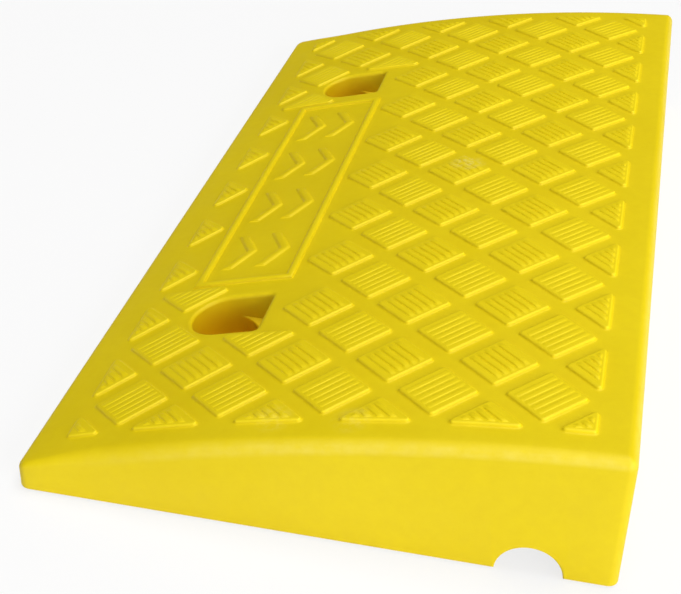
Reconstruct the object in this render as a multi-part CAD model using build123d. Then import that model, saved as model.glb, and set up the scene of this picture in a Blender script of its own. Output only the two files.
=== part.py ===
from build123d import *
import math
import os

# Threshold ramp: one moulded shell with a crowned tread deck, standing on push-in rubber feet.
# X runs from the toe (low edge, -X) to the back (tall edge, +X), Y along the width, Z up.
# The origin is on the ground under the middle of the ramp. Sizes are in millimetres.

# Overall size of the shell
width = 500.0
depth = 270.0
back_height = 70.0
toe_height = 14.0
deck_crown = 11.0
corner_radius = 6.0
edge_radius = 5.5
toe_radius = 2.5

# Walls of the moulding
wall = 4.5
deck_wall = 5.0
rib_wall = 3.0
rib_pitch = 42.0

# Half-round drain and cable channel that runs along the whole width
drain_radius = 15.0
drain_from_back = 38.5

# Tread of raised square pads, set cornerwise in two interleaved grids
tread_pitch = 47.0
tread_toe_margin = 17.5
tread_back_margin = 17.0
tread_end_margin = 14.0
tread_trim = 2.0
pad_side = 24.0
pad_height = 2.2
pad_root = 1.0
pad_least_share = 0.55

# Raised frame of the panel between the anchor pockets, and the direction marks inside it
panel_length = 223.0
panel_depth = 52.5
panel_rim = 4.0
panel_rise = 1.6
panel_gap = 3.0
mark_count = 4
mark_pitch = 52.0
mark_span = 34.0
mark_reach = 9.0
mark_stroke = 5.0
mark_step = 18.0
mark_rise = 1.2

# Anchor pockets: a round shaft with a bolt hole in its floor, and a shallower notch uphill of it
anchor_rows = 3
pocket_width = 33.0
pocket_floor = 10.0
pocket_wall = 4.0
pocket_lip = 2.0
pocket_gap = 4.5
notch_reach = 20.5
notch_corner = 2.5
notch_depth = 11.5
anchor_hole = 13.0
anchor_seat = 21.0

# Push-in square rubber feet in stepped sockets where ribs cross
foot_standoff = 1.0
foot_head = 13.0
foot_head_thickness = 4.0
foot_stem = 7.0
foot_stem_length = 8.0
foot_tip_room = 1.0
foot_clearance = 0.15
boss_wall = 2.3
foot_rows = 4

# Allowance that carries cutting tools past the faces they open
overrun = 2.0


def deck_arc(rise):
    """Side view of the crowned deck, moved up by rise."""
    toe = (-depth / 2, toe_height + rise)
    crest = (0, (toe_height + back_height) / 2 + deck_crown + rise)
    back = (depth / 2, back_height + rise)
    return ThreePointArc(toe, crest, back)


def deck_solid(rise, low):
    """Wedge as wide as the ramp, from height low up to the deck arc moved up by rise."""
    arc = deck_arc(rise)
    foot_of_toe = (-depth / 2, low)
    foot_of_back = (depth / 2, low)
    outline = [
        Line(foot_of_toe, arc @ 0),
        arc,
        Line(arc @ 1, foot_of_back),
        Line(foot_of_back, foot_of_toe),
    ]
    return extrude(Plane.XZ * make_face(outline), amount=width / 2, both=True)


def deck_plane(x):
    """Plane that touches the deck at x, with its normal pointing out of the deck."""
    arc = deck_arc(0)
    run = x - arc.arc_center.X
    climb = math.sqrt(arc.radius**2 - run**2)
    return Plane((x, 0, arc.arc_center.Y + climb), x_dir=(0, 1, 0), z_dir=(run, 0, climb))


def raised(plan, rise):
    """A plan on the deck as a layer of even thickness that is rooted in the deck."""
    return extrude(plan, sky) & (deck_solid(rise, 0) - deck_solid(-pad_root, -overrun))


def rod(diameter, low, high, x, y):
    """Upright cylinder between two heights."""
    blank = Cylinder(diameter / 2, high - low, align=(Align.CENTER, Align.CENTER, Align.MIN))
    return Pos(x, y, low) * blank


def slab(size_x, size_y, low, high, x, y):
    """Upright block between two heights."""
    blank = Box(size_x, size_y, high - low, align=(Align.CENTER, Align.CENTER, Align.MIN))
    return Pos(x, y, low) * blank


def post(side, low, high, x, y):
    """Upright square bar between two heights."""
    return slab(side, side, low, high, x, y)


# Places that several features share
sky = back_height + pad_height + deck_crown + overrun
tread_x = -depth / 2 + tread_toe_margin
tread_columns = int((depth - tread_toe_margin - tread_back_margin) / tread_pitch)
tread_rows = int((width - 2 * tread_end_margin) / tread_pitch)
tread_y = -tread_rows * tread_pitch / 2
anchor_x = tread_x + tread_pitch
anchor_ys = [side * anchor_rows * tread_pitch for side in (-1, 1)]
notch_floor = deck_plane(anchor_x + notch_reach).origin.Z - notch_depth
drain_x = depth / 2 - drain_from_back
inner_depth = depth - 2 * wall
inner_width = width - 2 * wall

# Rib lattice: equal bays in front of the drain channel, one bay over it and one rib behind it
rear_rib_x = (drain_x + drain_radius + inner_depth / 2) / 2
front_rib_x = drain_x - (rear_rib_x - drain_x)
front_run = front_rib_x + inner_depth / 2
front_bays = round(front_run / rib_pitch)
front_rib_xs = [-inner_depth / 2 + front_run * (k + 1) / front_bays for k in range(front_bays)]
rib_xs = front_rib_xs + [rear_rib_x]
end_bays = round(inner_width / rib_pitch)
rib_ys = [-inner_width / 2 + inner_width * (k + 1) / end_bays for k in range(end_bays - 1)]

# Feet stand where ribs cross: a front, a middle and a rear column, spread along the width
foot_xs = {"front": rib_xs[0], "middle": rib_xs[len(front_rib_xs) // 2], "rear": rear_rib_x}
foot_steps = [round(k * (len(rib_ys) - 1) / (foot_rows - 1)) for k in range(foot_rows)]
foot_ys = [rib_ys[step] for step in foot_steps]
boss = foot_head + 2 * (foot_clearance + boss_wall)


def pocket_outline(grow):
    """Plan of a pocket and its notch about the shaft's axis, grown on all sides."""
    half = pocket_width / 2 + grow
    reach = notch_reach + grow
    notch = Pos(reach / 2, 0) * Rectangle(reach, 2 * half)
    square_corners = notch.vertices().group_by(Axis.X)[-1]
    return fillet(square_corners, notch_corner + grow) + Circle(half)


def outer_form():
    """Solid wedge with round back corners, a soft deck edge and a tighter round about the toe face."""
    form = deck_solid(0, foot_standoff)
    back_corners = form.edges().filter_by(Axis.Z).group_by(Axis.X)[-1]
    form = fillet(back_corners, corner_radius)
    deck = form.faces().sort_by(Axis.Z)[-1]
    all_but_toe = deck.edges().sort_by(Axis.X)[1:]
    form = fillet(all_but_toe, edge_radius)
    toe_face = form.faces().sort_by(Axis.X)[0]
    all_but_sole = toe_face.edges().sort_by(Axis.Z)[1:]
    return fillet(all_but_sole, toe_radius)


def sink_pockets(form):
    """Cut the round shafts with their notches through the deck, and soften the lips."""
    for y in anchor_ys:
        notch = Pos(anchor_x, y, notch_floor) * extrude(pocket_outline(0), sky - notch_floor)
        form -= notch + rod(pocket_width, pocket_floor, sky, anchor_x, y)
    lips = [loop.edges() for face in form.faces() for loop in face.inner_wires()]
    return chamfer([edge for lip in lips for edge in lip], pocket_lip)


def cells():
    """Hollow underside: the cavity less its ribs, foot bosses and pocket walls."""
    hollow = deck_solid(-deck_wall, -overrun) & slab(inner_depth, inner_width, -overrun, sky, 0, 0)
    solids = [slab(rib_wall, width, -overrun, sky, x, 0) for x in rib_xs]
    solids += [slab(depth, rib_wall, -overrun, sky, 0, y) for y in rib_ys]
    solids += [post(boss, -overrun, sky, x, y) for x in foot_xs.values() for y in foot_ys]
    for y in anchor_ys:
        under_notch = notch_floor - pocket_wall
        solids.append(Pos(anchor_x, y, under_notch) * extrude(pocket_outline(pocket_wall), sky - under_notch))
        solids.append(rod(pocket_width + 2 * pocket_wall, pocket_floor - pocket_wall, sky, anchor_x, y))
        solids.append(rod(anchor_seat, -overrun, pocket_floor, anchor_x, y))
    return hollow - solids


def keep_outs():
    """Boxes of the plan that hold no pads: low x, high x, low y, high y."""
    half_depth = panel_depth / 2 + panel_gap
    half_length = panel_length / 2 + panel_gap
    boxes = [(anchor_x - half_depth, anchor_x + half_depth, -half_length, half_length)]
    half = pocket_width / 2 + pocket_gap
    for y in anchor_ys:
        boxes.append((anchor_x, anchor_x + notch_reach + pocket_gap, y - half, y + half))
    return boxes


def clip(corners, axis, sign, limit):
    """Part of a convex outline where sign times x (axis 0) or y (axis 1) is at most limit."""
    kept = []
    for a, b in zip(corners, corners[1:] + corners[:1]):
        over_a = sign * a[axis] - limit
        over_b = sign * b[axis] - limit
        if over_a <= 0:
            kept.append(a)
        if over_a * over_b < 0:
            share = over_a / (over_a - over_b)
            kept.append((a[0] + share * (b[0] - a[0]), a[1] + share * (b[1] - a[1])))
    return kept


def area(corners):
    """Area of an outline that runs anticlockwise."""
    sides = zip(corners, corners[1:] + corners[:1])
    return sum(a[0] * b[1] - b[0] * a[1] for a, b in sides) / 2


def within(corners, box):
    """Part of a convex outline inside a box."""
    low_x, high_x, low_y, high_y = box
    for axis, sign, limit in ((0, -1, -low_x), (0, 1, high_x), (1, -1, -low_y), (1, 1, high_y)):
        corners = clip(corners, axis, sign, limit)
    return corners


def clear_of(corners, box):
    """What is left of an outline that reaches into a box, after the straight cut that leaves the most."""
    if area(within(corners, box)) <= 0:
        return corners
    low_x, high_x, low_y, high_y = box
    cuts = ((0, 1, low_x), (0, -1, -high_x), (1, 1, low_y), (1, -1, -high_y))
    return max((clip(corners, *cut) for cut in cuts), key=area)


def pad_column(x, first_y, count, zone, boxes):
    """One column of pads along the width, each cut at the tread's border and beside the boxes."""
    half = pad_side / math.sqrt(2)
    plans = []
    for j in range(count):
        y = first_y + j * tread_pitch
        whole = within([(x, y - half), (x + half, y), (x, y + half), (x - half, y)], zone)
        left = whole
        for box in boxes:
            left = clear_of(left, box)
        if area(left) > pad_least_share * area(whole):
            plans += Polygon(*left, align=None).faces()
    column = Sketch(children=plans)
    lift = Box(width, pad_side * 2, pad_root + pad_height)
    middle = column.bounding_box().center().X
    layer = deck_plane(middle) * Pos(0, 0, (pad_height - pad_root) / 2) * lift
    return extrude(column, sky) & layer


def pads():
    """Raised pads in two interleaved grids."""
    low_x = tread_x + tread_trim
    high_x = tread_x + tread_columns * tread_pitch - tread_trim
    half_width = -tread_y - tread_trim
    zone = (low_x, high_x, -half_width, half_width)
    boxes = keep_outs()
    half = tread_pitch / 2
    columns = []
    for i in range(tread_columns + 1):
        columns.append(pad_column(tread_x + i * tread_pitch, tread_y, tread_rows + 1, zone, boxes))
    for i in range(tread_columns):
        x = tread_x + half + i * tread_pitch
        columns.append(pad_column(x, tread_y + half, tread_rows, zone, boxes))
    return columns


def chevron(x, y):
    """Plan of a bent bar that points up the ramp."""
    half = mark_span / 2
    corners = [
        (x, y - half),
        (x + mark_stroke, y - half),
        (x + mark_stroke + mark_reach, y),
        (x + mark_stroke, y + half),
        (x, y + half),
        (x + mark_reach, y),
    ]
    return Polygon(*corners, align=None)


def panel():
    """Raised frame of the panel, and a row of double chevrons inside it."""
    opening = Rectangle(panel_depth - 2 * panel_rim, panel_length - 2 * panel_rim)
    frame = Pos(anchor_x, 0) * (Rectangle(panel_depth, panel_length) - opening)
    first_x = anchor_x - (mark_step + mark_stroke + mark_reach) / 2
    marks = []
    for k in range(mark_count):
        y = (k - (mark_count - 1) / 2) * mark_pitch
        marks += chevron(first_x, y).faces() + chevron(first_x + mark_step, y).faces()
    return [raised(frame, panel_rise), raised(Sketch(children=marks), mark_rise)]


def ramp_shell():
    """The whole moulding: deck, skirts, ribs, pockets, drain channel and foot sockets."""
    shell = sink_pockets(outer_form()) - cells() + pads() + panel()
    for y in anchor_ys:
        shell -= rod(anchor_hole, -overrun, sky, anchor_x, y)
    bar = Rot(90, 0, 0) * Cylinder(drain_radius, width + 2 * overrun)
    shell -= Pos(drain_x, 0, 0) * bar
    socket_top = foot_head_thickness + foot_stem_length + foot_tip_room
    for x in foot_xs.values():
        for y in foot_ys:
            shell -= post(foot_head + 2 * foot_clearance, -overrun, foot_head_thickness, x, y)
            shell -= post(foot_stem + 2 * foot_clearance, 0, socket_top, x, y)
    return shell


def rubber_foot(x, y):
    """Square foot: a pad on the ground and a narrower plug pushed up into its boss."""
    head = post(foot_head, 0, foot_head_thickness, x, y)
    stem = post(foot_stem, foot_head_thickness, foot_head_thickness + foot_stem_length, x, y)
    return head + stem


os.makedirs("parts", exist_ok=True)
export_step(ramp_shell(), "parts/ramp_shell.step")
for column, x in foot_xs.items():
    for number, y in enumerate(foot_ys, start=1):
        export_step(rubber_foot(x, y), f"parts/rubber_foot_{column}_{number}.step")
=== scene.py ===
"""Threshold ramp: a moulded yellow shell with a ribbed pad tread, standing on rubber feet.

Lengths in this file are millimetres in the part's frame until a mesh is finished in metres.
X runs from the low toe to the tall back, Y along the width from the near end to the far end, Z up.
"""
import math
from functools import reduce

import bmesh
import bpy
from mathutils import Matrix, Vector, noise
from mathutils.geometry import delaunay_2d_cdt


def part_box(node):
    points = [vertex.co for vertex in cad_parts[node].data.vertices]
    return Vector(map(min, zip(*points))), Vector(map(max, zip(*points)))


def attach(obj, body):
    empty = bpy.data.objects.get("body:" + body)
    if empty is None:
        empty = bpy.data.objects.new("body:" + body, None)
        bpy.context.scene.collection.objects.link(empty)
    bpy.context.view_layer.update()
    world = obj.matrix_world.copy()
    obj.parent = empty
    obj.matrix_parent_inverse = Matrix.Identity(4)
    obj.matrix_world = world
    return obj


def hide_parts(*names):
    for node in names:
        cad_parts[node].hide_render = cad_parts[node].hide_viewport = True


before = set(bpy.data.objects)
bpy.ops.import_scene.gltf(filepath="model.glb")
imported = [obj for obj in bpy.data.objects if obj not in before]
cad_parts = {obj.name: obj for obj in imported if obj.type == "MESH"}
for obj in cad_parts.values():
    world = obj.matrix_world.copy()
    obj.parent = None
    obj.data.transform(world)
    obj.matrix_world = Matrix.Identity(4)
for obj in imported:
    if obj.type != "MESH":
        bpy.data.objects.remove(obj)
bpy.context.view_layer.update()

MM = 0.001

# Overall size of the shell, from the frame where it holds it
shell_low, shell_high = [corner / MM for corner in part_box("ramp_shell")]
depth = shell_high.x - shell_low.x
width = shell_high.y - shell_low.y
ground_gap = shell_low.z
toe_height = 14.0
back_height = 70.0
deck_crown = 11.0
edge_radius = 5.5
front_edge_radius = 8.0
corner_radius = 4.5
toe_corner_radius = 5.0
toe_radius = 3.0
toe_blend = 40.0
least_radius = 0.2
sole_radius = 0.8
ripple = 0.1
ripple_length = 70.0

# Walls and ribs under the deck
wall = 4.5
deck_wall = 5.0
rib_wall = 3.0
rib_pitch = 42.0
rib_chamfer = 0.5
cell_draft = 0.4

# Half-round drain channel along the width
drain_radius = 15.0
drain_from_back = 38.5
drain_lip = 0.8

# Tread of square pads, cornerwise in two interleaved grids
tread_pitch = 47.0
tread_toe_margin = 17.5
tread_trim = 0.8
tread_columns = 5
tread_rows = 10
pad_side = 25.2
pad_height = 1.5
pad_root = 0.6
pad_foot = 0.9
pad_round = 0.7
pad_reach = 0.8
pad_draft = 0.6
pad_corner = 1.5
pad_least_cut = 1.3
pad_least_share = 0.55
pad_ribs = 5
pad_rib_pitch = 3.85
pad_rib_width = 2.5
pad_rib_step = 2.7
pad_rib_root = 0.43
pad_rib_foot = 0.2
pad_rib_reach = 0.9
pad_rib_draft = 0.1
pad_rib_margins = (1.8, 2.1, 2.4, 2.7)
pad_rib_least = 2.2

# The two grids of pads: shift in pitches, then turn in degrees, height and end slope of their ribs
tread_grids = [
    (0.0, -45, 0.66, 2.5),
    (0.5, 45, 0.24, 0.0),
]

# Raised frame round the panel, and the plain direction marks inside it
panel_length = 223.0
panel_depth = 52.5
panel_rim = 4.0
panel_gap = 3.0
panel_rise = 1.6
panel_root = 0.5
panel_round = 1.1
panel_reach = 1.55
panel_draft = 0.2
mark_count = 4
mark_pitch = 52.0
mark_span = 34.0
mark_reach = 9.0
mark_stroke = 5.0
mark_step = 18.0
mark_rise = 1.2
mark_root = 0.6
mark_round = 0.6
mark_shoulder = 1.5
mark_draft = 0.6

# Anchor pockets: a round shaft with a bolt hole in its floor, and a shallower notch uphill of it
anchor_rows = 3
pocket_width = 33.0
pocket_floor = 10.0
pocket_wall = 4.0
pocket_lip = 2.4
pocket_gap = 4.5
pocket_foot = 2.0
pocket_taper = 0.6
notch_reach = 20.5
notch_corner = 2.5
notch_depth = 16.5
notch_edge = 1.0
anchor_hole = 13.0
anchor_hole_chamfer = 0.8
anchor_seat = 21.0

# Rubber feet and their sockets
foot_clearance = 0.15
foot_round = 1.2
foot_round_share = 0.3
foot_corner = 2.0
foot_groove = 0.5
foot_groove_width = 1.6
boss_wall = 2.3
boss_corner = 1.0
foot_tip_room = 1.0

# Pale tone on the rolled outer edges, partly wear and partly a painted highlight: how far in from the walls
# it starts and is full, where it fades at the toe, and how level and how upright a face is, as the Z of its
# normal, for none and for the full tone
pale_edge_reach = 8.0
pale_edge_full = 5.0
toe_pale_edge = (10.0, 130.0)
level_pale_edge = (0.95, 0.7)
upright_pale_edge = (0.05, 0.4)

# Painted highlight on the pads' rims: cosine of the tilt for none and for the full highlight, and shares of
# the pad's height where it starts, is full and ends
rim_highlight_tilt = (0.97, 0.85)
rim_highlight_start = 0.3
rim_highlight_full = 0.6
rim_highlight_end = 1.08
rim_highlight_strength = 0.5

# Painted light on the pads' tops: share of the pad's height where it starts, and its strength
top_light_start = 0.75
top_light_strength = 0.5

# Painted shade in the pockets: how far uphill its middle lies, and where it is full and ends
pocket_shade_shift = 2.0
pocket_shade_reach = (14.0, 30.0)

# Rub marks on the deck: place on the plan, radius and strength
rub_marks = [
    (27.0, 7.0, 11.0, 0.75),
    (-21.0, -232.0, 10.0, 0.2),
    (13.0, -233.0, 10.0, 0.2),
]

# Tones of the plastic and the rubber in display values
deep_yellow = (229, 203, 4)
plain_yellow = (236, 211, 7)
mottled_yellow = (222, 192, 2)
lit_top_yellow = (243, 219, 12)
rim_highlight_yellow = (250, 229, 36)
worn_and_highlight_yellow = (243, 226, 118)
pocket_shade_yellow = (222, 168, 2)
plain_black = (30, 30, 31)
dusty_black = (62, 60, 56)

# Floor and surroundings: size in metres, shares of white, and roughness
floor_size = 12
floor_white = 0.86
floor_glow = 0.8
floor_roughness = 0.8
surround_white = 0.06

# Studio lamps in metres and watts: name, place, side and power
lamp_aim = (0.0, 0.0, 0.03)
lamps = [
    ("key", (2.89, -2.47, 1.24), 2.4, 114.0),
    ("top", (0.7, 0.0, 3.94), 2.4, 127.0),
    ("fill", (-1.8, -3.5, 0.7), 1.4, 22.0),
]

# Camera: place, aim, roll in degrees, lens, sensor, sideways shift, and clipping in metres
camera_eye = Vector((105.9, -688.1, 422.5))
camera_aim = Vector((19.1, -108.0, 40.0))
camera_roll = 3.559
camera_lens = 73.13
camera_sensor = 36.0
camera_shift = -0.11
camera_clip = (0.01, 50.0)

# Fineness of the meshes and their shading, with angles in degrees
arc_steps = 8
small_arc_steps = 3
foot_arc_steps = 4
soft_steps = 4
fine_steps = 3
half_round_steps = 24
hole_steps = 48
drain_steps = 96
cell_steps = 4
corner_turn = 30
corner_share = 0.45
shell_sharp_angle = 38
foot_sharp_angle = 40
line_step = 8.0
grid_step = 7.0
grid_clear = 1.5
edge_hold = 0.2
overrun = 4.0
tiny = 1e-6


# Plan geometry


def polar(radius, turn):
    """Point at a distance and an angle in degrees from the origin."""
    return Vector((radius * math.cos(math.radians(turn)), radius * math.sin(math.radians(turn))))


def quarter_turn(steps):
    """Angles of a quarter turn in equal steps, in radians."""
    return [math.radians(90 * k / steps) for k in range(steps + 1)]


def rectangle(x, y, size_x, size_y):
    """Corners of a rectangle about a centre, anticlockwise."""
    half = Vector((size_x / 2, size_y / 2))
    signs = ((-1, -1), (1, -1), (1, 1), (-1, 1))
    return [Vector((x + sx * half.x, y + sy * half.y)) for sx, sy in signs]


def rounded_rectangle(x, y, size_x, size_y, radius, steps):
    """Rectangle with round corners, each in so many steps."""
    points = []
    inner = rectangle(x, y, size_x - 2 * radius, size_y - 2 * radius)
    for k, centre in enumerate(inner):
        points += [centre + polar(radius, 180 + 90 * (k + s / steps)) for s in range(steps + 1)]
    return points


def circle(x, y, radius, steps):
    """Points round a circle, anticlockwise."""
    return [Vector((x, y)) + polar(radius, 360 * k / steps) for k in range(steps)]


def sides(polygon):
    """Sides of a polygon as pairs of points."""
    return zip(polygon, polygon[1:] + polygon[:1])


def area(polygon):
    """Area of a polygon, positive when it runs anticlockwise."""
    return sum(a.x * b.y - b.x * a.y for a, b in sides(polygon)) / 2


def clip(polygon, normal, limit):
    """Part of a convex polygon where normal . point is at most limit."""
    kept = []
    for a, b in sides(polygon):
        over_a = normal.dot(a) - limit
        over_b = normal.dot(b) - limit
        if over_a <= 0:
            kept.append(a)
        if over_a * over_b < 0:
            kept.append(a.lerp(b, over_a / (over_a - over_b)))
    return kept


def inset(polygon, distance):
    """Polygon with every side moved inwards by distance, or outwards where it is negative."""
    moved = []
    for k, point in enumerate(polygon):
        before = (point - polygon[k - 1]).normalized()
        after = (polygon[(k + 1) % len(polygon)] - point).normalized()
        side_a = Vector((-before.y, before.x))
        side_b = Vector((-after.y, after.x))
        moved.append(point + (side_a + side_b) * distance / (1 + side_a.dot(side_b)))
    return moved


def refine(polygon, step=line_step):
    """Polygon with points added so that no side is longer than step."""
    points = []
    for a, b in sides(polygon):
        parts = max(1, math.ceil((b - a).length / step - tiny))
        points += [a.lerp(b, k / parts) for k in range(parts)]
    return points


def inside(polygon, point, clear):
    """Whether a point lies in a convex polygon or within clear of it."""
    for a, b in sides(polygon):
        along = (b - a).normalized()
        if along.cross(point - a) < -clear:
            return False
    return True


def encloses(polygon, point):
    """Whether a point lies in any simple polygon."""
    within = False
    for a, b in sides(polygon):
        if (a.y > point.y) != (b.y > point.y):
            if point.x < a.x + (b.x - a.x) * (point.y - a.y) / (b.y - a.y):
                within = not within
    return within


def round_corners(polygon, radius):
    """Convex polygon with an arc at each corner that takes up no more than a share of its sides."""
    points = []
    for k, point in enumerate(polygon):
        before = polygon[k - 1] - point
        after = polygon[(k + 1) % len(polygon)] - point
        turn = math.pi - before.angle(after)
        cut_back = radius * math.tan(turn / 2)
        if cut_back > corner_share * min(before.length, after.length):
            points.append(point)
            continue
        inwards = (before.normalized() + after.normalized()).normalized()
        centre = point + inwards * radius / math.cos(turn / 2)
        start = point + before.normalized() * cut_back - centre
        steps = math.ceil(turn / math.radians(corner_turn))
        for s in range(steps + 1):
            points.append(centre + Matrix.Rotation(turn * s / steps, 2) @ start)
    return points


def keeps_sides(polygon, distance):
    """Whether every side of a polygon is still there after an inset."""
    moved = inset(polygon, distance)
    for k in range(len(polygon)):
        n = (k + 1) % len(polygon)
        if (polygon[n] - polygon[k]).dot(moved[n] - moved[k]) <= 0:
            return False
    return True


def soft_step(height, root, foot, top, reach, draft, steps):
    """Side view of a raised edge from outside to inside: (distance outwards, height) pairs.

    A hollow fillet that is root high and foot wide leads up to the wall, and a round that is top high
    and reach wide ends it. The first and last pairs lie on the flats, which then stay flat in smooth
    shading."""
    profile = [(foot + edge_hold, 0.0)]
    for turn in quarter_turn(steps):
        profile.append((foot * (1 - math.sin(turn)), root * (1 - math.cos(turn))))
    for turn in quarter_turn(steps):
        profile.append((-reach * (1 - math.cos(turn)), height - top * (1 - math.sin(turn))))
    profile.append((-reach - edge_hold, height))
    return [(out + draft * (1 - 2 * up / height) / 2, up) for out, up in profile]


# Shape of the deck


def deck_circle():
    """Centre and radius of the arc that the deck follows in side view."""
    toe = Vector((-depth / 2, toe_height))
    crest = Vector((0, (toe_height + back_height) / 2 + deck_crown))
    back = Vector((depth / 2, back_height))
    a = crest - toe
    b = back - toe
    scale = 2 * a.cross(b)
    centre = toe + Vector((b.y * a.length_squared - a.y * b.length_squared,
                           a.x * b.length_squared - b.x * a.length_squared)) / scale
    return centre, (toe - centre).length


deck_centre, deck_radius = deck_circle()

# Upright corners of the shell, anticlockwise from the near toe: two signs and a radius;
# then the way along the wall that follows each corner
shell_corners = [
    (-1, -1, toe_corner_radius),
    (1, -1, corner_radius),
    (1, 1, corner_radius),
    (-1, 1, toe_corner_radius),
]
side_ways = [Vector((1, 0)), Vector((0, 1)), Vector((-1, 0)), Vector((0, -1))]


def deck(x):
    """Height of the plain deck."""
    return deck_centre.y + math.sqrt(deck_radius**2 - (x - deck_centre.x) ** 2)


def waviness(point):
    """Slight unevenness that the moulding cools with."""
    place = Vector((point.x, point.y, 0)) / ripple_length
    return ripple * (noise.noise(place) - 1) / 2


def on_deck(point, rise=0.0):
    """Point of the plan lifted to the deck, plus a rise."""
    return Vector((point.x, point.y, deck(point.x) + waviness(point) + rise))


# Shared places

tread_x = -depth / 2 + tread_toe_margin
tread_y = -tread_rows * tread_pitch / 2
anchor_x = tread_x + tread_pitch
anchor_ys = [side * anchor_rows * tread_pitch for side in (-1, 1)]
notch_floor = deck(anchor_x + notch_reach) - notch_depth
drain_x = depth / 2 - drain_from_back
inner_depth = depth - 2 * wall
inner_width = width - 2 * wall
sky = back_height + deck_crown + overrun

rear_rib_x = (drain_x + drain_radius + inner_depth / 2) / 2
front_rib_x = 2 * drain_x - rear_rib_x
front_run = front_rib_x + inner_depth / 2
front_bays = round(front_run / rib_pitch)
rib_xs = [-inner_depth / 2 + front_run * (k + 1) / front_bays for k in range(front_bays)] + [rear_rib_x]
end_bays = round(inner_width / rib_pitch)
rib_ys = [-inner_width / 2 + inner_width * (k + 1) / end_bays for k in range(end_bays - 1)]

foot_nodes = sorted(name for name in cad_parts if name.startswith("rubber_foot"))


# Relief of the deck


class Relief:
    """Plan of the deck: points, their rise over the plain deck, and the lines that the mesh keeps."""

    def __init__(self):
        self.points = []
        self.rises = []
        self.lines = []
        self.islands = []

    def loop(self, polygon, rise):
        """Adds a closed line at one rise and returns the numbers of its points."""
        first = len(self.points)
        count = len(polygon)
        self.points += polygon
        self.rises += [rise] * count
        self.lines += [(first + k, first + (k + 1) % count) for k in range(count)]
        return list(range(first, first + count))

    def raised(self, polygon, base, profile):
        """Adds a raised form: one loop for each step of its side view."""
        for out, up in profile:
            self.loop(refine(inset(polygon, -out)), base + up)

    def ground(self, border):
        """Fills the open deck with a grid of points that keeps clear of every island."""
        xs = [p.x for p in border]
        ys = [p.y for p in border]
        columns = int((max(xs) - min(xs)) / grid_step)
        rows = int((max(ys) - min(ys)) / grid_step)
        for i in range(1, columns):
            for j in range(1, rows):
                x = min(xs) + (max(xs) - min(xs)) * i / columns
                y = min(ys) + (max(ys) - min(ys)) * j / rows
                point = Vector((x, y))
                if not any(inside(island, point, grid_clear) for island in self.islands):
                    self.points.append(point)
                    self.rises.append(0.0)

    def skin(self, bm, border, holes):
        """Makes the triangles inside the border loop and returns the mesh vertex of each point.

        Holes are loops left open."""
        triangles_inside = 1
        made = delaunay_2d_cdt(self.points, self.lines, [], triangles_inside, tiny, True)
        places, _, faces, sources = made[:4]
        verts = []
        of_point = {}
        for place, source in zip(places, sources):
            rise = self.rises[source[0]] if source else 0.0
            vert = bm.verts.new(on_deck(place, rise))
            verts.append(vert)
            of_point.update({number: vert for number in source})
        rim = {of_point[number] for number in border}
        edge = [self.points[number] for number in border]
        open_sets = [{of_point[number] for number in hole} for hole in holes]
        for face in faces:
            corners = [verts[k] for k in face]
            if any(all(corner in ring for corner in corners) for ring in open_sets):
                continue
            if all(corner in rim for corner in corners):
                if not encloses(edge, sum((corner.co.xy for corner in corners), Vector((0, 0))) / 3):
                    continue
            bm.faces.new(corners)
        return of_point


# Tread


def keep_outs():
    """Boxes of the plan that hold no pads: (low corner, high corner)."""
    half = Vector((panel_depth / 2 + panel_gap, panel_length / 2 + panel_gap))
    boxes = [(Vector((anchor_x, 0)) - half, Vector((anchor_x, 0)) + half)]
    for y in anchor_ys:
        reach = pocket_width / 2 + pocket_gap
        low = Vector((anchor_x, y - reach))
        high = Vector((anchor_x + notch_reach + pocket_gap, y + reach))
        boxes.append((low, high))
    return boxes


def cut_sides(low, high):
    """The four straight cuts that leave a pad clear of a box: (normal, limit)."""
    return [
        (Vector((1, 0)), low.x),
        (Vector((-1, 0)), -high.x),
        (Vector((0, 1)), low.y),
        (Vector((0, -1)), -high.y),
    ]


def part_in_box(polygon, low, high):
    """Part of a convex polygon that lies in a box."""
    for normal, limit in cut_sides(low, high):
        polygon = clip(polygon, -normal, -limit)
    return polygon


def meets(polygon, low, high):
    """Whether a convex polygon reaches into a box."""
    shared = part_in_box(polygon, low, high)
    return len(shared) > 2 and area(shared) > tiny


def pad_outline(x, y, boxes):
    """Outline of one pad, cut at the tread's border and beside the boxes, or nothing."""
    half = pad_side / math.sqrt(2)
    outline = [Vector((x, y - half)), Vector((x + half, y)), Vector((x, y + half)), Vector((x - half, y))]
    trim = Vector((tread_trim, tread_trim))
    low = Vector((tread_x, tread_y)) + trim
    high = Vector((tread_x, tread_y)) + Vector((tread_columns, tread_rows)) * tread_pitch - trim
    outline = part_in_box(outline, low, high)
    whole = area(outline)
    for box in boxes:
        if meets(outline, *box):
            normal, limit = max(cut_sides(*box), key=lambda side: area(clip(outline, *side)))
            trimmed = clip(outline, normal, limit)
            if not keeps_sides(trimmed, pad_rib_margins[0]):
                trimmed = clip(outline, normal, limit - pad_least_cut)
            outline = trimmed
    return outline if area(outline) > pad_least_share * whole else None


def pads():
    """Every pad as (outline, centre, direction of its ribs, height of its ribs, slope at their ends)."""
    boxes = keep_outs()
    found = []
    for shift, turn, rib_height, slope in tread_grids:
        for i in range(tread_columns + 1):
            for j in range(tread_rows + 1):
                if i + shift > tread_columns or j + shift > tread_rows:
                    continue
                centre = Vector((tread_x + (i + shift) * tread_pitch, tread_y + (j + shift) * tread_pitch))
                outline = pad_outline(centre.x, centre.y, boxes)
                if outline:
                    found.append((outline, centre, polar(1, turn), rib_height, slope))
    return found


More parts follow.
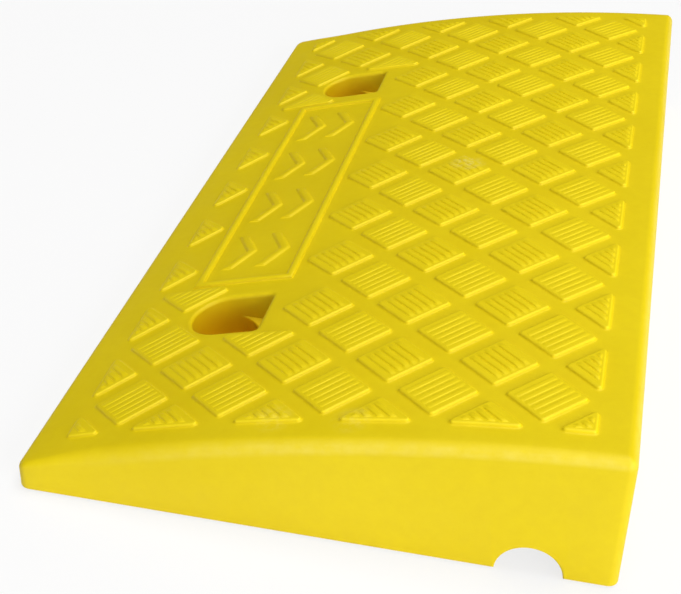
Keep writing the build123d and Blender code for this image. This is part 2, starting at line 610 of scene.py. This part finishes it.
def rib_outlines(outline, centre, along):
    """Outlines of the ribs on top of one pad, each as long as its rounded rim leaves room for."""
    across = Vector((-along.y, along.x))
    flat_top = inset(round_corners(outline, pad_corner), pad_reach + edge_hold + pad_draft / 2)
    ribs = []
    for k in range(pad_ribs):
        middle = across.dot(centre) + (k - (pad_ribs - 1) / 2) * pad_rib_pitch
        tries = [rib_outline(inset(outline, margin), across, middle) for margin in pad_rib_margins]
        ribs += [rib for rib in tries if rib and clear_of_rim(rib, flat_top)][:1]
    return ribs


def rib_outline(field, across, middle):
    """Part of a pad's field that one rib takes, or nothing where it is too small for one."""
    rib = clip(field, across, middle + pad_rib_width / 2)
    rib = clip(rib, -across, pad_rib_width / 2 - middle) if len(rib) > 2 else []
    large = len(rib) > 2 and area(rib) > pad_rib_least * pad_rib_width
    return rib if large and keeps_sides(rib, pad_rib_reach + pad_rib_draft + edge_hold) else None


def clear_of_rim(rib, flat_top):
    """Whether a rib's foot lies wholly on the flat top of its pad."""
    foot = inset(rib, -pad_rib_foot - edge_hold - pad_rib_draft / 2)
    return all(inside(flat_top, point, 0.0) for point in foot)


def draw_sloped_rib(relief, rib, along, slope, profile):
    """Adds one rib that rises from the pad's top at both ends over the length of a slope."""
    low = min(along.dot(point) for point in rib)
    high = max(along.dot(point) for point in rib)
    for out, up in profile:
        numbers = relief.loop(refine(inset(rib, -out), pad_rib_step), pad_height)
        for number in numbers:
            spot = along.dot(relief.points[number])
            share = min(spot - low, high - spot) / slope
            relief.rises[number] += up * min(max(share, 0.0), 1.0)


def draw_tread(relief):
    """Adds every pad with its ribs."""
    pad_profile = soft_step(pad_height, pad_root, pad_foot, pad_round, pad_reach, pad_draft, soft_steps)
    for outline, centre, along, rib_height, slope in pads():
        root = pad_rib_root * rib_height
        crown = rib_height - root
        profile = soft_step(rib_height, root, pad_rib_foot, crown, pad_rib_reach, pad_rib_draft, fine_steps)
        relief.raised(round_corners(outline, pad_corner), 0.0, pad_profile)
        relief.islands.append(inset(outline, -pad_foot - edge_hold - pad_draft / 2))
        for rib in rib_outlines(outline, centre, along):
            if slope:
                draw_sloped_rib(relief, rib, along, slope, profile)
            else:
                relief.raised(rib, pad_height, profile)


def chevron(x, y):
    """Outline of one direction mark that points up the ramp, anticlockwise."""
    half = mark_span / 2
    return [
        Vector((x, y - half)),
        Vector((x + mark_stroke, y - half)),
        Vector((x + mark_stroke + mark_reach, y)),
        Vector((x + mark_stroke, y + half)),
        Vector((x, y + half)),
        Vector((x + mark_reach, y)),
    ]


def draw_panel(relief):
    """Adds the raised frame and the direction marks inside it."""
    rise = soft_step(panel_rise, panel_root, panel_root, panel_round, panel_reach, panel_draft, soft_steps)
    for out, up in rise:
        relief.loop(refine(rectangle(anchor_x, 0, panel_depth + 2 * out, panel_length + 2 * out)), up)
    for out, up in reversed(rise):
        gap = panel_rim + out
        relief.loop(refine(rectangle(anchor_x, 0, panel_depth - 2 * gap, panel_length - 2 * gap)), up)
    for low, high in frame_bars():
        relief.islands.append(rectangle(*((low + high) / 2), *(high - low)))
    mark = soft_step(mark_rise, mark_root, mark_root, mark_round, mark_shoulder, mark_draft, fine_steps)
    mark_size = mark_stroke + mark_reach
    first_x = anchor_x - (mark_step + mark_size) / 2
    for k in range(mark_count):
        y = (k - (mark_count - 1) / 2) * mark_pitch
        for x in (first_x, first_x + mark_step):
            relief.raised(chevron(x, y), 0.0, mark)
            relief.islands.append(rectangle(x + mark_size / 2, y, mark_size, mark_span))


def frame_bars():
    """Boxes of the four bars of the panel's frame."""
    half = Vector((panel_depth / 2, panel_length / 2))
    centre = Vector((anchor_x, 0))
    low = centre - half
    high = centre + half
    return [
        (low, Vector((low.x + panel_rim, high.y))),
        (Vector((high.x - panel_rim, low.y)), high),
        (low, Vector((high.x, low.y + panel_rim))),
        (Vector((low.x, high.y - panel_rim)), high),
    ]


# Anchor pockets


def pocket_loop(y, grow):
    """Plan of an anchor pocket, grown on all sides; always the same number of points."""
    half = pocket_width / 2 + grow
    centre = Vector((anchor_x, y))
    turns = [90 + 180 * k / half_round_steps for k in range(half_round_steps + 1)]
    points = [centre + polar(half, turn) for turn in turns]
    corner = notch_corner + grow
    end = notch_reach + grow
    for sign in (-1, 1):
        middle = centre + Vector((end - corner, sign * (half - corner)))
        start = 270 if sign < 0 else 0
        points += [middle + polar(corner, start + 90 * k / arc_steps) for k in range(arc_steps + 1)]
    return points


def loft(bm, loops):
    """Joins loops of vertices that have equal counts with quads."""
    for lower, upper in zip(loops, loops[1:]):
        for k in range(len(lower)):
            n = (k + 1) % len(lower)
            bm.faces.new((lower[k], lower[n], upper[n], upper[k]))


def level_loop(bm, points, z):
    """Vertices of a plan loop at one height."""
    return [bm.verts.new((p.x, p.y, z)) for p in points]


def sink_pocket(bm, y, rim):
    """Pocket below its rim loop: rolled lip, tapered wall, hollow foot and floor."""
    loops = [rim]
    for turn in quarter_turn(arc_steps)[1:]:
        plan = pocket_loop(y, pocket_lip * (1 - math.sin(turn)))
        drop = pocket_lip * (1 - math.cos(turn))
        loops.append([bm.verts.new(on_deck(p, -drop)) for p in plan])
    for turn in quarter_turn(small_arc_steps):
        plan = pocket_loop(y, -pocket_taper - pocket_foot * (1 - math.cos(turn)))
        loops.append(level_loop(bm, plan, pocket_floor + pocket_foot * (1 - math.sin(turn))))
    loft(bm, loops)
    bm.faces.new(loops[-1])


def ledge_plan(y, ease):
    """Plan of the notch's ledge, sunk into the pocket's walls; ease draws its round edge back."""
    half = pocket_width / 2
    centre = Vector((anchor_x, y))
    end = anchor_x + notch_reach + notch_edge
    near = y - half - notch_edge
    far = y + half + notch_edge
    corners = [Vector(spot) for spot in ((anchor_x, near), (end, near), (end, far), (anchor_x, far))]
    turns = [90 - 180 * k / half_round_steps for k in range(half_round_steps + 1)]
    return corners + [centre + polar(half + ease * math.cos(math.radians(turn)), turn) for turn in turns]


def notch_ledges():
    """Ledge that floors each notch, with a softened edge round the shaft."""
    bm = bmesh.new()
    for y in anchor_ys:
        layers = [(ledge_plan(y, 0.0), pocket_floor - pocket_wall / 2)]
        for turn in quarter_turn(small_arc_steps):
            rise = notch_floor - notch_edge * (1 - math.sin(turn))
            layers.append((ledge_plan(y, notch_edge * (1 - math.cos(turn))), rise))
        stack(bm, layers)
    return finish_bmesh(bm)


# Shell


def edge_round(x):
    """Radius of the rolled deck edge: tight at the toe, widest a little way up, then less to the back."""
    share = min(max((x + depth / 2) / toe_blend, 0.0), 1.0)
    full = front_edge_radius + (edge_radius - front_edge_radius) * (x / depth + 0.5)
    return toe_radius + (full - toe_radius) * share * share * (3 - 2 * share)


def border_ring(inset_share, drop_share):
    """Plan loop of the rolled edge with the drop of each point.

    Both arguments are shares of the local edge radius: how far in, and how far down."""
    ring = []
    for k, (sx, sy, radius) in enumerate(shell_corners):
        corner = Vector((sx * depth / 2, sy * width / 2))
        reach = edge_round(corner.x)
        gap = reach * inset_share
        small = max(radius - gap, least_radius)
        centre = corner - Vector((sx, sy)) * (gap + small)
        turns = [180 + 90 * (k + s / arc_steps) for s in range(arc_steps + 1)]
        ring += [(centre + polar(small, turn), reach * drop_share) for turn in turns]
        nx, ny, next_radius = shell_corners[(k + 1) % len(shell_corners)]
        start = corner + side_ways[k] * radius
        end = Vector((nx * depth / 2, ny * width / 2)) - side_ways[k] * next_radius
        inward = Vector((-side_ways[k].y, side_ways[k].x))
        parts = round((end - start).length / line_step)
        for s in range(1, parts):
            point = start + (end - start) * (s / parts)
            reach = edge_round(point.x)
            ring.append((point + inward * reach * inset_share, reach * drop_share))
    return ring


def border_rings():
    """Loops of the rolled deck edge, from the deck out to the wall."""
    return [border_ring(1 - math.sin(turn), 1 - math.cos(turn)) for turn in quarter_turn(arc_steps)]


def outer_body():
    """Closed body of the shell without its hollow: tread, rolled edges, walls, pockets and sole."""
    bm = bmesh.new()
    relief = Relief()
    rings = border_rings()
    inner = [point for point, _ in rings[0]]
    border = relief.loop(inner, 0.0)
    draw_tread(relief)
    draw_panel(relief)
    rims = []
    for y in anchor_ys:
        rim = pocket_loop(y, pocket_lip)
        rims.append(relief.loop(rim, 0.0))
        relief.islands.append(rim)
    relief.ground(inner)
    vert_of = relief.skin(bm, border, rims)
    for y, rim in zip(anchor_ys, rims):
        sink_pocket(bm, y, [vert_of[number] for number in rim])
    loops = [[vert_of[number] for number in border]]
    for ring in rings[1:]:
        loops.append([bm.verts.new(on_deck(point, -drop)) for point, drop in ring])
    for turn in quarter_turn(small_arc_steps):
        gap = sole_radius * (1 - math.cos(turn))
        plan = [shrink(point, gap) for point, _ in rings[-1]]
        loops.append(level_loop(bm, plan, ground_gap + sole_radius * (1 - math.sin(turn))))
    loft(bm, loops)
    bm.faces.new(loops[-1])
    return finish_bmesh(bm)


def shrink(point, gap):
    """Point of the outer outline moved inwards by a small gap."""
    return Vector((point.x * (1 - 2 * gap / depth), point.y * (1 - 2 * gap / width)))


def finish_bmesh(bm):
    """Closed bmesh to a mesh in millimetres, with outward faces."""
    bm.normal_update()
    bmesh.ops.triangulate(bm, faces=[face for face in bm.faces if len(face.verts) > 4])
    bmesh.ops.recalc_face_normals(bm, faces=bm.faces)
    mesh = bpy.data.meshes.new("mesh")
    bm.to_mesh(mesh)
    bm.free()
    return mesh


def stack(bm, layers):
    """Closed solid through plan loops at rising heights: (points, z or height function)."""
    loops = []
    for points, height in layers:
        heights = height if callable(height) else (lambda p, z=height: z)
        loops.append([bm.verts.new((p.x, p.y, heights(p))) for p in points])
    loft(bm, loops)
    bm.faces.new(list(reversed(loops[0])))
    bm.faces.new(loops[-1])


def ceiling(point):
    """Underside of the deck."""
    return deck(point.x) - deck_wall


def cell_cutter():
    """Hollow cells between the ribs, with a chamfered mouth and a little draft."""
    bm = bmesh.new()
    lows_x = [-inner_depth / 2] + [x + rib_wall / 2 for x in rib_xs]
    highs_x = [x - rib_wall / 2 for x in rib_xs] + [inner_depth / 2]
    lows_y = [-inner_width / 2] + [y + rib_wall / 2 for y in rib_ys]
    highs_y = [y - rib_wall / 2 for y in rib_ys] + [inner_width / 2]
    for x0, x1 in zip(lows_x, highs_x):
        for y0, y1 in zip(lows_y, highs_y):
            cell_block(bm, (x0 + x1) / 2, (y0 + y1) / 2, x1 - x0, y1 - y0)
    return finish_bmesh(bm)


def cell_block(bm, x, y, size_x, size_y):
    """One hollow cell, with enough points along its sides to follow the deck."""
    def plan(grow):
        corners = rectangle(x, y, size_x + 2 * grow, size_y + 2 * grow)
        return [a.lerp(b, k / cell_steps) for a, b in sides(corners) for k in range(cell_steps)]

    layers = [
        (plan(rib_chamfer), ground_gap - overrun),
        (plan(rib_chamfer), ground_gap),
        (plan(0), ground_gap + rib_chamfer),
        (plan(-cell_draft), ceiling),
    ]
    stack(bm, layers)


def inner_blocks():
    """What stands in the cells: foot bosses and the undersides of the notches."""
    bm = bmesh.new()
    for node in foot_nodes:
        low, high, x, y = foot_box(node)
        side = high.x - low.x + 2 * (foot_clearance + boss_wall)
        plan = rounded_rectangle(x, y, side, side, boss_corner, small_arc_steps)
        stack(bm, [(plan, -2 * overrun), (plan, sky)])
    for y in anchor_ys:
        plan = pocket_loop(y, pocket_wall)
        stack(bm, [(plan, notch_floor - pocket_wall), (plan, sky)])
    return finish_bmesh(bm)


def round_columns(diameter, low, high):
    """Upright cylinders about the shafts' axes."""
    bm = bmesh.new()
    for y in anchor_ys:
        plan = circle(anchor_x, y, diameter / 2, hole_steps)
        stack(bm, [(plan, low), (plan, high)])
    return finish_bmesh(bm)


def bore_cutter():
    """Bolt holes, chamfered at the shaft's floor and at the sole."""
    bm = bmesh.new()
    radius = anchor_hole / 2
    wide = radius + anchor_hole_chamfer
    for y in anchor_ys:
        levels = [
            (wide, ground_gap - overrun),
            (wide, ground_gap),
            (radius, ground_gap + anchor_hole_chamfer),
            (radius, pocket_floor - anchor_hole_chamfer),
            (wide, pocket_floor),
            (wide, pocket_floor + overrun),
        ]
        stack(bm, [(circle(anchor_x, y, r, hole_steps), z) for r, z in levels])
    return finish_bmesh(bm)


def drain_cutter():
    """Bar that cuts the half-round channel, flared where it leaves the end walls."""
    bm = bmesh.new()
    end = width / 2
    stations = [
        (-end - overrun, drain_lip),
        (-end, drain_lip),
        (-end + drain_lip, 0.0),
        (end - drain_lip, 0.0),
        (end, drain_lip),
        (end + overrun, drain_lip),
    ]
    loops = []
    for y, flare in stations:
        ring = circle(drain_x, 0, drain_radius + flare, drain_steps)
        loops.append([bm.verts.new((p.x, y, p.y)) for p in ring])
    loft(bm, loops)
    bm.faces.new(loops[0])
    bm.faces.new(loops[-1])
    return finish_bmesh(bm)


def socket_cutter():
    """Stepped square sockets that hold the feet."""
    bm = bmesh.new()
    for node in foot_nodes:
        _, high, x, y = foot_box(node)
        head, stem, shoulder = foot_sizes(node)
        head_room = head + 2 * foot_clearance
        stem_room = stem + 2 * foot_clearance
        wide = rounded_rectangle(x, y, head_room, head_room, foot_corner, foot_arc_steps)
        slim = rounded_rectangle(x, y, stem_room, stem_room, foot_corner / 2, foot_arc_steps)
        layers = [(wide, -overrun), (wide, shoulder), (slim, shoulder), (slim, high.z + foot_tip_room)]
        stack(bm, layers)
    return finish_bmesh(bm)


def foot_box(node):
    """Corners of a foot's solid and its middle on the plan: low, high, x and y."""
    low, high = [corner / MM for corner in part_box(node)]
    return low, high, (low.x + high.x) / 2, (low.y + high.y) / 2


def foot_sizes(node):
    """Head width, stem width and shoulder height of a foot, read from its solid."""
    low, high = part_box(node)
    spans = {}
    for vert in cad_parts[node].data.vertices:
        spans.setdefault(round(vert.co.z / MM, 3), []).append(vert.co.x / MM)
    levels = sorted(spans)
    top = spans[levels[-1]]
    return (high.x - low.x) / MM, max(top) - min(top), levels[len(levels) // 2]


def as_object(mesh, name):
    """New object in the scene around a mesh."""
    obj = bpy.data.objects.new(name, mesh)
    bpy.context.scene.collection.objects.link(obj)
    return obj


def cut(target, mesh, operation="DIFFERENCE"):
    """Cuts a mesh out of an object, or joins it, and keeps the result as the object's own mesh."""
    tool = as_object(mesh, "cutter")
    modifier = target.modifiers.new("cut", "BOOLEAN")
    modifier.operation = operation
    modifier.solver = "MANIFOLD"
    modifier.object = tool
    graph = bpy.context.evaluated_depsgraph_get()
    result = bpy.data.meshes.new_from_object(target.evaluated_get(graph))
    target.modifiers.clear()
    target.data = result
    bpy.data.objects.remove(tool)


def ramp_shell(material):
    """The whole moulding as one closed mesh."""
    shell = as_object(outer_body(), "ramp_shell_moulding")
    cut(shell, notch_ledges(), "UNION")
    hollow = as_object(cell_cutter(), "hollow")
    cut(hollow, inner_blocks())
    cut(hollow, round_columns(pocket_width + 2 * pocket_wall, pocket_floor - pocket_wall, sky))
    cut(hollow, round_columns(anchor_seat, -2 * overrun, pocket_floor))
    cut(shell, hollow.data.copy())
    bpy.data.objects.remove(hollow)
    cut(shell, bore_cutter())
    cut(shell, drain_cutter())
    cut(shell, socket_cutter())
    dress(shell, material, "ramp_shell", shell_sharp_angle)


def dress(obj, material, node, sharp_degrees):
    """Finishes a piece in metres: shading, material, and the solid that it stands for."""
    mesh = obj.data
    mesh.transform(Matrix.Scale(MM, 4))
    mesh.shade_smooth()
    mesh.set_sharp_from_angle(angle=math.radians(sharp_degrees))
    mesh.materials.clear()
    mesh.materials.append(material)
    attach(obj, "root")
    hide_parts(node)


# Feet


def rubber_foot(node, material):
    """Square push-in foot: soft edges, a grooved sole and a plug with a lead-in."""
    low, high, x, y = foot_box(node)
    head, stem, shoulder = foot_sizes(node)

    def plan(size, corner):
        return rounded_rectangle(x, y, size, size, corner, foot_arc_steps)

    soft = foot_round / 2
    bulge = foot_round * foot_round_share
    layers = [
        (plan(head - 2 * foot_round, foot_corner), low.z),
        (plan(head - 2 * bulge, foot_corner), low.z + bulge),
        (plan(head, foot_corner), low.z + foot_round),
        (plan(head, foot_corner), shoulder - soft),
        (plan(head - 2 * soft, foot_corner), shoulder),
        (plan(stem, foot_corner / 2), shoulder),
        (plan(stem, foot_corner / 2), high.z - 2 * soft),
        (plan(stem - 2 * soft, foot_corner / 2), high.z),
    ]
    bm = bmesh.new()
    stack(bm, layers)
    foot = as_object(finish_bmesh(bm), "foot_" + node.removeprefix("rubber_foot_"))
    grooves = bmesh.new()
    for k in (-1, 0, 1):
        middle = x + k * 2 * foot_groove_width
        slot = rectangle(middle, y, foot_groove_width, head * 2)
        stack(grooves, [(slot, low.z - overrun), (slot, low.z + foot_groove)])
    cut(foot, finish_bmesh(grooves))
    dress(foot, material, node, foot_sharp_angle)


# Materials


class Nodes:
    """Shorthand for the node tree of a material or of the surroundings."""

    def __init__(self, owner, shader="Principled BSDF"):
        owner.use_nodes = True
        self.owner = owner
        self.tree = owner.node_tree
        self.shader = self.tree.nodes[shader]

    def add(self, kind, **settings):
        """New node, with its inputs and settings given by name."""
        node = self.tree.nodes.new(kind)
        for key, value in settings.items():
            if key in node.inputs:
                node.inputs[key].default_value = value
            else:
                setattr(node, key, value)
        return node

    def link(self, source, target):
        """Joins an output to an input."""
        self.tree.links.new(source, target)

    def give(self, target, value):
        """Sets an input to a constant, or joins an output to it."""
        if isinstance(value, bpy.types.NodeSocket):
            self.link(value, target)
        else:
            target.default_value = value

    def ramp(self, source, low=0.0, high=1.0, start=0.0, end=1.0):
        """Maps a value from low..high to start..end, held at both ends."""
        limits = {"From Min": low, "From Max": high, "To Min": start, "To Max": end}
        node = self.add("ShaderNodeMapRange", **limits)
        self.link(source, node.inputs["Value"])
        return node.outputs["Result"]

    def mix(self, factor, first, second):
        """Mixes two colours, each a constant or an output."""
        node = self.add("ShaderNodeMix", data_type="RGBA")
        self.link(factor, node.inputs["Factor"])
        self.give(node.inputs[6], first)
        self.give(node.inputs[7], second)
        return node.outputs[2]

    def product(self, first, second):
        """Product of two values."""
        return self.combine("MULTIPLY", first, second)

    def maximum(self, first, second):
        """Larger of two values."""
        return self.combine("MAXIMUM", first, second)

    def combine(self, operation, *values):
        """Result of an arithmetic step on values."""
        node = self.add("ShaderNodeMath", operation=operation)
        for value, socket in zip(values, node.inputs):
            self.link(value, socket)
        return node.outputs["Value"]

    def vector(self, operation, *values):
        """Outputs of an arithmetic step on vectors, each a constant or an output."""
        node = self.add("ShaderNodeVectorMath", operation=operation)
        for value, socket in zip(values, node.inputs):
            self.give(socket, value)
        return node.outputs

    def parts(self, vector):
        """X, Y and Z of a vector, by name."""
        node = self.add("ShaderNodeSeparateXYZ")
        self.link(vector, node.inputs["Vector"])
        return node.outputs

    def emboss(self, height, strength, distance):
        """Gives the surface a fine relief; distance in metres."""
        node = self.add("ShaderNodeBump", Strength=strength, Distance=distance)
        self.link(height, node.inputs["Height"])
        self.link(node.outputs["Normal"], self.shader.inputs["Normal"])

    def noise(self, place, scale, detail=4.0, roughness=0.55):
        """Noise value at a place."""
        node = self.add("ShaderNodeTexNoise", Scale=scale, Detail=detail, Roughness=roughness)
        self.link(place, node.inputs["Vector"])
        return node.outputs["Fac"]


def srgb(red, green, blue):
    """Colour given in 0..255 display values."""
    def linear(value):
        share = value / 255
        return share / 12.92 if share <= 0.04045 else ((share + 0.055) / 1.055) ** 2.4

    return (linear(red), linear(green), linear(blue), 1.0)


def worn_and_highlit_edges(n, coordinates):
    """Share of pale tone on the ramp's rolled outer edges, partly wear and partly a painted highlight, in
    uneven patches.
    """
    lean = n.parts(coordinates.outputs["Normal"])
    off_level = n.ramp(lean["Z"], *level_pale_edge)
    off_upright = n.ramp(lean["Z"], *upright_pale_edge)
    spot = n.parts(coordinates.outputs["Object"])
    sideways = n.combine("ABSOLUTE", spot["Y"])
    to_end = n.ramp(sideways, (width / 2 - pale_edge_reach) * MM, (width / 2 - pale_edge_full) * MM)
    to_back = n.ramp(spot["X"], (depth / 2 - pale_edge_reach) * MM, (depth / 2 - pale_edge_full) * MM)
    from_toe = n.ramp(spot["X"], (toe_pale_edge[0] - depth / 2) * MM, (toe_pale_edge[1] - depth / 2) * MM)
    to_end = n.product(to_end, from_toe)
    patches = n.noise(coordinates.outputs["Object"], scale=140.0, detail=5.0)
    patch_share = n.ramp(patches, low=0.3, high=0.7, start=0.1, end=0.36)
    return n.product(n.product(off_level, off_upright), n.product(n.maximum(to_end, to_back), patch_share))


def within(n, place, centre, full, none):
    """Share that is one near a point and fades to nothing: full and none are distances."""
    reach = n.vector("DISTANCE", place, centre * MM)["Value"]
    return n.ramp(reach, none * MM, full * MM)


def rubbed_spots(n, place):
    """Share of pale rub marks: a few blotches broken up by noise."""
    speck = n.ramp(n.noise(place, scale=300.0, detail=4.0, roughness=0.7), low=0.42, high=0.64)
    marks = []
    for x, y, radius, strength in rub_marks:
        share = within(n, place, on_deck(Vector((x, y)), pad_height), radius / 2, radius)
        marks.append(n.ramp(share, end=strength))
    return n.product(reduce(n.maximum, marks), speck)


def deck_spoke(n, place):
    """Vector from the axis of the deck's arc to a place, square to that axis."""
    side_view = (1.0, 0.0, 1.0)
    from_axis = Vector((-deck_centre.x, 0.0, -deck_centre.y)) * MM
    return n.vector("MULTIPLY_ADD", place, side_view, from_axis)["Vector"]


def over_deck(n, spoke, none, full):
    """Share by height over the deck: nothing at one height, one at the other."""
    length = n.vector("LENGTH", spoke)["Value"]
    return n.ramp(length, (deck_radius + none) * MM, (deck_radius + full) * MM)


def outside_panel(n, place):
    """Share that is nothing on the panel and its frame and one elsewhere."""
    spot = n.parts(n.vector("SUBTRACT", place, (anchor_x * MM, 0.0, 0.0))["Vector"])
    shares = []
    for axis, size in (("X", panel_depth), ("Y", panel_length)):
        off = n.combine("ABSOLUTE", spot[axis])
        shares.append(n.ramp(off, (size + panel_gap) / 2 * MM, (size / 2 + panel_gap) * MM))
    return n.maximum(*shares)


def painted_rim_highlight(n, coordinates, spoke):
    """Share of painted highlight on the rounded upper rims of the pads, below their ribs."""
    outwards = n.vector("NORMALIZE", spoke)["Vector"]
    facing = n.vector("DOT_PRODUCT", coordinates.outputs["Normal"], outwards)["Value"]
    tilted = n.ramp(facing, *rim_highlight_tilt)
    high = over_deck(n, spoke, rim_highlight_start * pad_height, rim_highlight_full * pad_height)
    low = over_deck(n, spoke, rim_highlight_end * pad_height, pad_height)
    on_pads = n.product(tilted, outside_panel(n, coordinates.outputs["Object"]))
    return n.product(on_pads, n.product(high, low))


def painted_pocket_shade(n, place):
    """Share of the darker, more orange painted shade down in the anchor pockets."""
    middles = [Vector((anchor_x + pocket_shade_shift, y, pocket_floor)) for y in anchor_ys]
    shares = [within(n, place, middle, *pocket_shade_reach) for middle in middles]
    uneven = n.ramp(n.noise(place, scale=60.0), low=0.2, high=0.8, start=0.6, end=0.9)
    return n.product(reduce(n.maximum, shares), uneven)


def yellow_plastic():
    """Coloured-through moulded plastic: fine grain, painted highlights on the pads' rims, pale edges that
    are partly worn and partly a painted highlight, painted light on raised tops, painted shade in the
    pockets, and an uneven sheen.
    """
    n = Nodes(bpy.data.materials.new("yellow_plastic"))
    coordinates = n.add("ShaderNodeTexCoord")
    place = coordinates.outputs["Object"]
    broad = n.noise(place, scale=9.0, detail=3.0)
    colour = n.mix(n.ramp(broad, low=0.3, high=0.7), srgb(*deep_yellow), srgb(*plain_yellow))
    mottle = n.noise(place, scale=160.0, detail=4.0, roughness=0.65)
    colour = n.mix(n.ramp(mottle, low=0.35, high=0.75, end=0.3), colour, srgb(*mottled_yellow))
    spoke = deck_spoke(n, place)
    # Painted light: the raised tops are a lighter yellow
    lit_tops = over_deck(n, spoke, top_light_start * pad_height, pad_height)
    colour = n.mix(n.ramp(lit_tops, end=top_light_strength), colour, srgb(*lit_top_yellow))
    # Painted highlight on the pads' rounded rims
    rims = painted_rim_highlight(n, coordinates, spoke)
    colour = n.mix(n.ramp(rims, end=rim_highlight_strength), colour, srgb(*rim_highlight_yellow))
    # Pale edges, partly wear and partly a painted highlight, with the rub marks, which are wear
    wear_and_highlight = n.maximum(worn_and_highlit_edges(n, coordinates), rubbed_spots(n, place))
    colour = n.mix(wear_and_highlight, colour, srgb(*worn_and_highlight_yellow))
    # Painted shade down in the anchor pockets
    colour = n.mix(painted_pocket_shade(n, place), colour, srgb(*pocket_shade_yellow))
    n.link(colour, n.shader.inputs["Base Color"])
    sheen = n.noise(place, scale=35.0, detail=5.0)
    n.link(n.ramp(sheen, low=0.3, high=0.7, start=0.5, end=0.62), n.shader.inputs["Roughness"])
    n.shader.inputs["Specular IOR Level"].default_value = 0.26
    n.emboss(n.noise(place, scale=900.0, detail=2.0), strength=0.12, distance=0.0004)
    return n.owner


def black_rubber():
    """Matt black rubber with a dusty, mottled face."""
    n = Nodes(bpy.data.materials.new("black_rubber"))
    place = n.add("ShaderNodeTexCoord").outputs["Object"]
    dust = n.noise(place, scale=220.0, detail=6.0)
    colour = n.mix(n.ramp(dust, low=0.45, high=0.75), srgb(*plain_black), srgb(*dusty_black))
    n.link(colour, n.shader.inputs["Base Color"])
    n.link(n.ramp(dust, low=0.3, high=0.7, start=0.62, end=0.86), n.shader.inputs["Roughness"])
    n.emboss(n.noise(place, scale=1500.0, detail=3.0), strength=0.25, distance=0.0003)
    return n.owner


# Stage


def pale_floor():
    """Plain floor that keeps a soft shadow, near white to the camera and in reflections."""
    bpy.ops.mesh.primitive_plane_add(size=floor_size, location=(0, 0, 0))
    floor = bpy.context.object
    floor.name = "floor"
    n = Nodes(bpy.data.materials.new("pale_floor"))
    n.shader.inputs["Roughness"].default_value = floor_roughness
    rays = n.add("ShaderNodeLightPath").outputs
    seen = n.maximum(rays["Is Camera Ray"], rays["Is Glossy Ray"])
    n.shader.inputs["Base Color"].default_value = (floor_white, floor_white, floor_white, 1.0)
    glow = n.add("ShaderNodeEmission", Strength=1.0)
    mixed = n.add("ShaderNodeMixShader")
    n.link(n.ramp(seen, end=floor_glow), mixed.inputs["Fac"])
    n.link(n.shader.outputs["BSDF"], mixed.inputs[1])
    n.link(glow.outputs["Emission"], mixed.inputs[2])
    n.link(mixed.outputs["Shader"], n.tree.nodes["Material Output"].inputs["Surface"])
    floor.data.materials.append(n.owner)


def studio_world():
    """Dim even surroundings, white where the camera sees them, also through clear matter."""
    n = Nodes(bpy.data.worlds.new("studio"), "Background")
    n.shader.inputs["Color"].default_value = (1.0, 1.0, 1.0, 1.0)
    rays = n.add("ShaderNodeLightPath").outputs
    seen = n.maximum(rays["Is Camera Ray"], rays["Is Transmission Ray"])
    n.link(n.ramp(seen, start=surround_white), n.shader.inputs["Strength"])
    bpy.context.scene.world = n.owner


def soft_box(name, place, size, power):
    """Square area lamp turned towards the ramp."""
    lamp = bpy.data.lights.new(name, "AREA")
    lamp.shape = "SQUARE"
    lamp.size = size
    lamp.energy = power
    obj = bpy.data.objects.new(name, lamp)
    obj.location = place
    obj.rotation_euler = (Vector(lamp_aim) - Vector(place)).to_track_quat("-Z", "Y").to_euler()
    bpy.context.scene.collection.objects.link(obj)


def photo_camera():
    """Camera at the photograph's viewing angle."""
    data = bpy.data.cameras.new("camera")
    data.sensor_fit = "HORIZONTAL"
    data.sensor_width = camera_sensor
    data.lens = camera_lens
    data.shift_x = camera_shift
    data.clip_start, data.clip_end = camera_clip
    camera = bpy.data.objects.new("camera", data)
    bpy.context.scene.collection.objects.link(camera)
    roll = Matrix.Rotation(math.radians(camera_roll), 3, "Z")
    turn = (camera_aim - camera_eye).to_track_quat("-Z", "Y").to_matrix() @ roll
    camera.matrix_world = Matrix.Translation(camera_eye * MM) @ turn.to_4x4()
    bpy.context.scene.camera = camera


ramp_shell(yellow_plastic())
rubber = black_rubber()
for node in foot_nodes:
    rubber_foot(node, rubber)
pale_floor()
studio_world()
for lamp in lamps:
    soft_box(*lamp)
photo_camera()
bpy.context.scene.view_settings.view_transform = "Standard"
